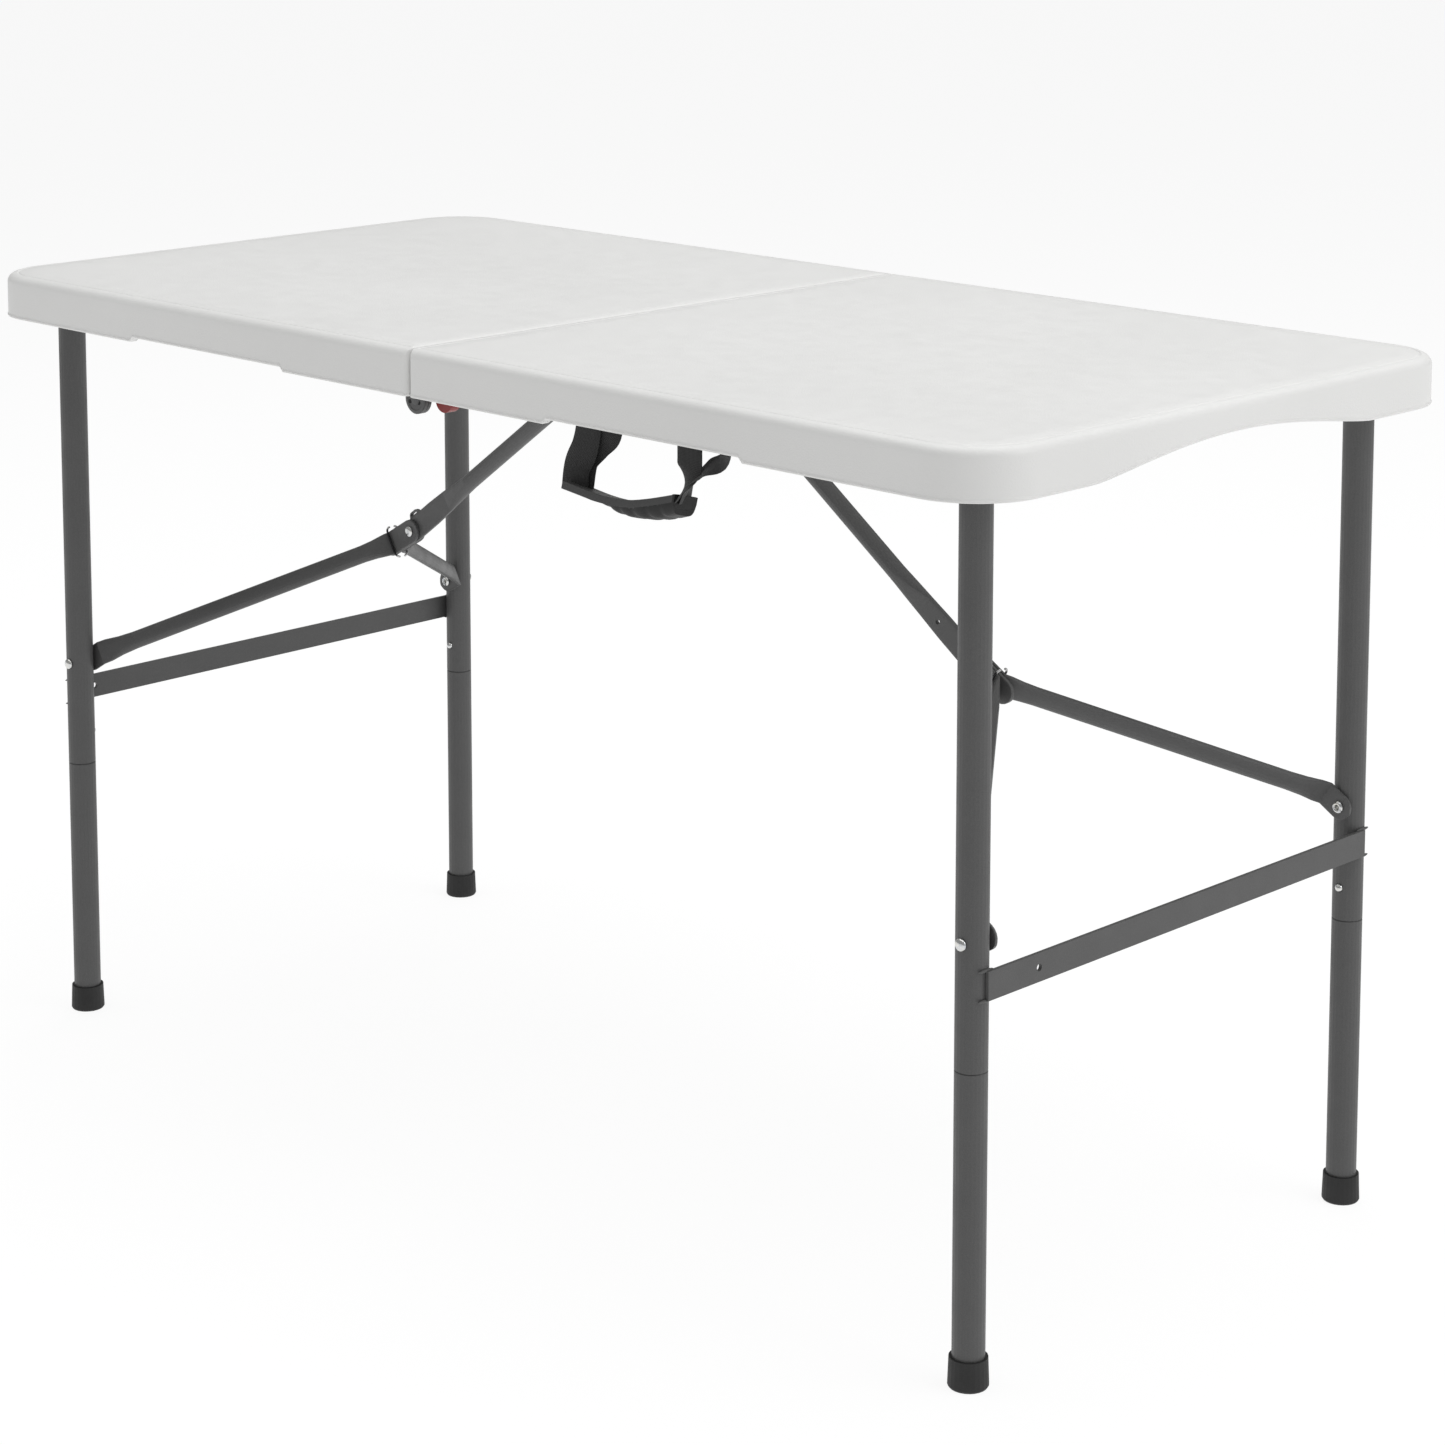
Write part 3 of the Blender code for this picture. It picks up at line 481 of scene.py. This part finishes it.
def make_grip():
    """Boat-shaped moulded grip: a pale flat rim in front, a dark ribbed belly hanging behind it."""
    steps, around = 112, 48
    bm = bmesh.new()
    rings = []
    for i in range(steps + 1):
        s = 2 * i / steps - 1
        top, bottom = grip_top(s), grip_line(s, GRIP_BELLY_LINE)
        belly = top - bottom
        width = GRIP_HALF_WIDTH * (1 - 0.06 * (1 - s * s))
        ring = []
        for k in range(around):
            angle = 2 * math.pi * k / around
            c, q = math.cos(angle), math.sin(angle)
            across = width * math.copysign(abs(c) ** 0.4, c)
            if q >= 0:
                height = top - 0.0009 * (1 - abs(q) ** 0.5)
            else:
                depth = max(GRIP_RIM_HEIGHT * min(1.0, abs(q) * 9.0), belly * abs(q) ** 0.75)
                depth = min(depth, belly)
                inside = smoothstep((0.88 - s) / 0.12) * smoothstep((s + 0.42) / 0.12)
                inside *= smoothstep((abs(q) - 0.12) / 0.12)
                rib = 0.5 - 0.5 * math.cos(2 * math.pi * (s * GRIP_RIBS + 0.35 * c))
                height = top - depth + 0.0016 * inside * rib ** 2
            ring.append(grip_point(s, across, height))
        rings.append(ring)
    skin(bm, rings)
    for face in bm.faces:
        centre = face.calc_center_median()
        s = min(max((centre.x - GRIP_CENTRE.x) / GRIP_HALF_LENGTH, -1.0), 1.0)
        local = centre - grip_point(s, 0, grip_top(s))
        across = -local.y * math.cos(GRIP_TILT) + local.z * math.sin(GRIP_TILT)
        below = local.y * math.sin(GRIP_TILT) + local.z * math.cos(GRIP_TILT)
        on_rim = across > 0.90 * GRIP_HALF_WIDTH and below > -GRIP_RIM_HEIGHT
        face.material_index = 0 if (on_rim or below > -0.0012) and s < 0.97 else 1
    grip = finish_piece("handle_grip_moulding", bm, GRIP, "handle", 40)
    grip.data.materials.append(GRIP_DARK)
    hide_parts("handle_grip")
    lug = bmesh.new()
    rings = []
    for ds, scale in ((-0.06, 0.86), (-0.045, 0.96), (0.015, 1.0), (0.035, 0.90)):
        ring = []
        for k in range(28):
            angle = 2 * math.pi * k / 28
            c, q = math.cos(angle), math.sin(angle)
            across = 0.97 * GRIP_HALF_WIDTH * scale * math.copysign(abs(c) ** 0.3, c)
            height = grip_top(0.97) - 0.0052 + 0.0056 * scale * math.copysign(abs(q) ** 0.35, q)
            ring.append(grip_point(0.97 + ds, across, height))
        rings.append(ring)
    skin(lug, rings)
    finish_piece("handle_end_lug", lug, GRIP_DARK, "handle", 40)


def make_belts():
    """Two looped belts: each goes down from the rail, through the grip's end and back up.

    Each belt is the points that it follows, its twist from bottom to top in degrees, and the twist's pace.
    """
    y = HANDLE_PIVOT.y
    left = grip_point(-0.93, 0.002, grip_top(-0.93) - 0.0035)
    right = grip_point(0.93, 0.000, grip_top(0.93) - 0.0050)
    belts = {
        "handle_belt_left_outer": (
            [left, (0.1880, y, 0.6385), (0.1965, y, 0.6545), (0.2010, y, 0.6700), (0.2030, y, BELT_TOP_Z)],
            (12, 8), 1.15
        ),
        "handle_belt_left_inner": (
            [left + Vector((0.003, 0.0030, 0.001)), (0.1930, y + 0.004, 0.6450),
             (0.2050, y + 0.005, 0.6580), (0.2185, y + 0.005, 0.6700), (0.2215, y + 0.004, BELT_TOP_Z)],
            (14, 10), 1.15
        ),
        "handle_belt_right_outer": (
            [right, (0.3075, y, 0.6430), (0.3115, y, 0.6560), (0.3120, y, 0.6700), (0.3120, y, BELT_TOP_Z)],
            (-76, 4), 1.80
        ),
        "handle_belt_right_inner": (
            [right + Vector((0.001, 0.0030, 0.001)), (0.3085, y + 0.005, 0.6440),
             (0.3225, y + 0.006, 0.6560), (0.3420, y + 0.006, 0.6670), (0.3470, y + 0.005, BELT_TOP_Z)],
            (-66, -28), 1.40
        ),
    }
    for name, (points, angles, pace) in belts.items():
        belt = ribbon(name, belt_path(points, angles, pace), BELT_WIDTH, BELT_THICKNESS, WEBBING)
        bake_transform(belt)
        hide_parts("handle_left_strap" if "left" in name else "handle_right_strap")


# ---- fasteners ----
def make_leg_bolt(label):
    """Domed head outside the leg, rolled hollow end inside, as one tubular rivet."""
    low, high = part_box(label + "_leg_bolt")
    centre = (Vector(low) + Vector(high)) / 2
    outward = math.copysign(1, centre.y)
    outer = Vector((centre.x, high[1] if outward > 0 else low[1], centre.z))
    length = high[1] - low[1]
    profile = [(0.0, 0.0004), (0.0001, 0.0016), (0.0006, 0.0032), (0.0014, 0.0044), (0.0024, 0.0049)]
    profile += [(0.0028, 0.0049), (0.0028, 0.0029), (length - 0.0024, 0.0029), (length - 0.0023, 0.0043)]
    profile += [(length - 0.0014, 0.0049), (length - 0.0004, 0.0042), (length, 0.0033)]
    profile += [(length - 0.0003, 0.0024), (length - 0.0012, 0.0019), (length - 0.0040, 0.0017)]
    profile += [(length - 0.0042, 0.0003)]
    bm = turned(bmesh.new(), profile, outer, -Y_AXIS * outward)
    bolt = finish_piece(label + "_rivet", bm, ZINC, label.split("_")[0] + "_frame", 40)
    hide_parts(label + "_leg_bolt")


def make_knee_rivet(label):
    low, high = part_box(label + "_knee_rivet")
    centre = (Vector(low) + Vector(high)) / 2
    outward = math.copysign(1, centre.y)
    start = Vector((centre.x, low[1] if outward > 0 else high[1], centre.z))
    length = high[1] - low[1]
    profile = [(0.0, 0.0028), (length - 0.0024, 0.0028), (length - 0.0023, 0.0044)]
    profile += [(length - 0.0014, 0.0049), (length - 0.0005, 0.0041), (length, 0.0026), (length, 0.0006)]
    bm = turned(bmesh.new(), profile, start, Y_AXIS * outward)
    body = label.split("_")[0] + "_brace"
    rivet = finish_piece(label + "_knee_rivet_head", bm, ZINC, body, 40)
    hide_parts(label + "_knee_rivet")


def make_snap_button(label):
    low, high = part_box(label + "_snap_button")
    centre = (Vector(low) + Vector(high)) / 2
    inward = -math.copysign(1, centre.y)
    start = Vector((centre.x, low[1] if inward > 0 else high[1], centre.z))
    length = high[1] - low[1]
    radius = (high[0] - low[0]) / 2
    profile = [(0.0, radius * 0.98)]
    for i in range(9):
        angle = 0.5 * math.pi * i / 8
        profile.append((length - radius * (1 - math.sin(angle)), max(radius * math.cos(angle), 0.0003)))
    bm = turned(bmesh.new(), profile, start, Y_AXIS * inward)
    button = finish_piece(label + "_button_dome", bm, ZINC, label + "_button", 60)
    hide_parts(label + "_snap_button")


def make_weld_beads(word):
    """Rippled weld beads where the flat cross bar meets each leg, above and below."""
    low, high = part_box(word + "_leg_cross_bar")
    side = SIDES[word]
    inner_x = low[0] if side > 0 else high[0]
    for corner, depth in DEPTHS.items():
        leg = middle(word + "_" + corner + "_upper_leg")
        bm = bmesh.new()
        for z, lift in ((low[2], -1), (high[2], 1)):
            rings = []
            count = 28
            for i in range(count + 1):
                t = 2 * i / count - 1
                y = leg.y + t * 0.0080
                radius = max(0.0013 * math.sqrt(max(1 - t * t, 0)) * (1 + 0.10 * math.sin(i * 2.1)), 0.0002)
                centre = Vector((inner_x + side * 0.0002, y, z + lift * 0.0002))
                turns = [2 * math.pi * k / 12 for k in range(12)]
                rings.append([centre + radius * Vector((math.cos(a), 0, math.sin(a))) for a in turns])
            skin(bm, rings)
        finish_piece(word + "_" + corner + "_weld_beads", bm, COAT, word + "_frame", 60)


def make_arm_tab(word):
    """Raised eye with a slot on the upper edge of the arm's flattened end."""
    knee = middle(word + "_front_knee_rivet")
    knee.y = 0
    pivot = middle(word + "_arm_pin")
    along = pivot - knee
    along.y = 0
    along.normalize()
    up = Vector((-along.z, 0, along.x))
    if up.z < 0:
        up = -up
    origin = knee + along * 0.0115 + up * 0.0106
    outer = [(-0.0075, 0.0), (-0.0060, 0.0030), (-0.0040, 0.0044)]
    outer += [(0.0040, 0.0044), (0.0062, 0.0030), (0.0080, 0.0)]
    inner = [(-0.0050, 0.0008), (-0.0046, 0.0022), (-0.0036, 0.0030)]
    inner += [(0.0036, 0.0030), (0.0046, 0.0022), (0.0052, 0.0008)]
    bm = bmesh.new()
    rings = []
    for points, y in ((outer, -0.0018), (outer, 0.0018), (inner, 0.0018), (inner, -0.0018)):
        rings.append([origin + along * a + up * b + Y_AXIS * y for a, b in points])
    skin(bm, rings, cap=False, closed=True)
    finish_piece(word + "_arm_eye", bm, COAT, word + "_arm", 40)


def make_hinge_detail(corner):
    """Raised boss, peened centre and two dark pivot holes on the visible hinge disc."""
    depth = DEPTHS[corner]
    low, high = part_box(corner + "_hinge_disc_plate")
    pin = middle(corner + "_hinge_pin")
    face_y = low[1] if depth < 0 else high[1]
    outward = Y_AXIS * depth
    centre = Vector((pin.x, face_y, pin.z))
    profile = [(0.0, 0.0121), (0.0004, 0.0121), (0.0008, 0.0116), (0.0008, 0.0094), (0.0003, 0.0090)]
    profile += [(0.0003, 0.0052), (0.0009, 0.0048), (0.0012, 0.0036), (0.0012, 0.0004)]
    bm = turned(bmesh.new(), profile, centre, outward, 48)
    finish_piece(corner + "_hinge_boss", bm, COAT, "left_half", 40)
    holes = bmesh.new()
    for x in (-0.0065, 0.0045):
        start = centre + Vector((x, 0, -0.0028)) + outward * 0.0002
        turned(holes, [(0.0, 0.0017), (0.0003, 0.0017), (0.0004, 0.0003)], start, outward, 20)
    finish_piece(corner + "_hinge_holes", holes, DARK_HOLE, "left_half", 40)


# ---- stage ----
def make_stage():
    material, nodes, links, shader = new_material("pale_floor")
    shader.inputs["Base Color"].default_value = (0.15, 0.15, 0.15, 1.0)
    shader.inputs["Roughness"].default_value = 0.9
    shader.inputs["Specular IOR Level"].default_value = 0.05
    shader.inputs["Emission Color"].default_value = (1.0, 1.0, 1.0, 1.0)
    shader.inputs["Emission Strength"].default_value = 0.88
    bm = bmesh.new()
    bmesh.ops.create_grid(bm, x_segments=1, y_segments=1, size=30.0)
    floor = finish_piece("studio_floor", bm, material)


def add_area_light(name, location, target, size, power, color=(1, 1, 1)):
    light = bpy.data.lights.new(name, "AREA")
    light.shape = "RECTANGLE"
    light.size, light.size_y = size
    light.energy = power
    light.color = color
    holder = bpy.data.objects.new(name, light)
    bpy.context.scene.collection.objects.link(holder)
    holder.location = location
    direction = Vector(target) - Vector(location)
    holder.rotation_euler = direction.to_track_quat("-Z", "Y").to_euler()


def make_lights():
    world = bpy.data.worlds.new("studio_world")
    bpy.context.scene.world = world
    world.use_nodes = True
    background = world.node_tree.nodes["Background"]
    background.inputs["Color"].default_value = (1.0, 1.0, 1.0, 1.0)
    background.inputs["Strength"].default_value = 0.32
    add_area_light("key_right", (3.2, 1.0, 2.2), (0.3, 0, 0.4), (2.4, 2.0), 32)
    add_area_light("top_soft", (0.0, 0.3, 3.9), (0, 0, 0.7), (5.0, 5.0), 125)
    bpy.context.scene.view_settings.view_transform = "Standard"


def make_camera():
    camera = bpy.data.cameras.new("photo_camera")
    camera.sensor_width = 36.0
    camera.lens = CAMERA_LENS_MM
    camera.shift_y = CAMERA_SHIFT_Y
    camera.clip_end = 100.0
    holder = bpy.data.objects.new("photo_camera", camera)
    bpy.context.scene.collection.objects.link(holder)
    holder.location = CAMERA_LOCATION
    holder.rotation_euler = (math.pi / 2 - CAMERA_PITCH_DOWN, 0, CAMERA_YAW)
    bpy.context.scene.camera = holder


def dress_cad_nodes():
    """The CAD pieces that keep their shape get the detailed finishes."""
    finishes = {
        "foot_cap": RUBBER,
        "lock_latch": RED,
        "lock_ring": WIRE,
        "arm_pin": ZINC,
        "hinge_pin": ZINC,
    }
    for name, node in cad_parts.items():
        material = COAT
        for ending, finish in finishes.items():
            if name.endswith(ending):
                material = finish
        for slot in node.material_slots:
            slot.material = material


make_camera()
dress_cad_nodes()
for word in SIDES:
    make_top_shell(word)
    make_weld_beads(word)
    make_arm_tab(word)
    for corner in DEPTHS:
        label = word + "_" + corner
        make_leg_bolt(label)
        make_knee_rivet(label)
        make_snap_button(label)
for corner in DEPTHS:
    make_hinge_detail(corner)
make_grip()
make_belts()
make_stage()
make_lights()
